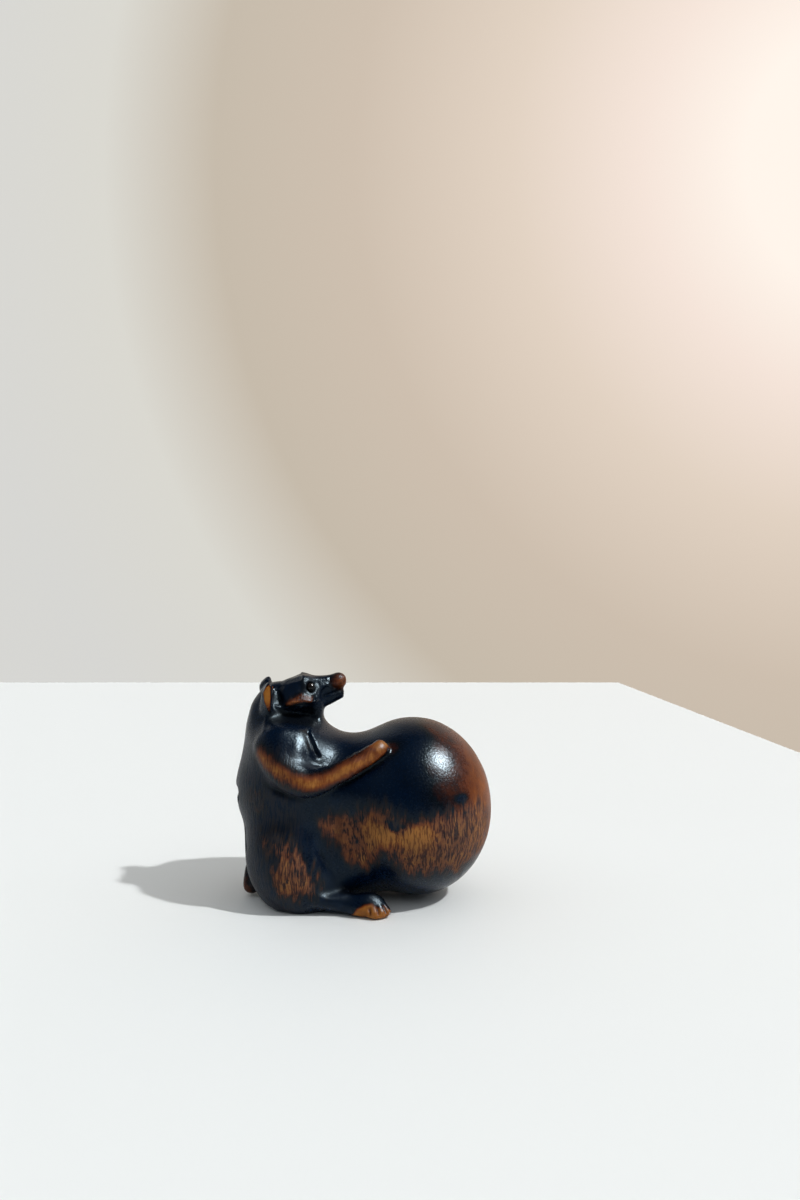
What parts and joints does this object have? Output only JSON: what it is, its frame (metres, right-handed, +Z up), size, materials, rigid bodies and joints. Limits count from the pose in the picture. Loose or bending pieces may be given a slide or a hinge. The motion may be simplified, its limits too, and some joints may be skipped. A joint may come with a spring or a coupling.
{
  "type": "netsuke",
  "caption": "Seated tanuki drumming on its swollen belly with thrown-back head, a carved toggle with a cord channel through the back.",
  "frame": {"origin": "on the surface it sits on, under the middle of its bounding box", "axes": "+X the way the tanuki faces, +Y its left side, +Z up"},
  "size_m": [0.0419, 0.026, 0.0361],
  "materials": {
    "stained_boxwood": "dark stain, polished, worn to orange-brown wood on the high places",
    "dark_horn": "polished"
  },
  "bodies": {
    "root": {"tanuki": "stained_boxwood", "right_eye": "dark_horn", "left_eye": "dark_horn"}
  },
  "joints": []
}
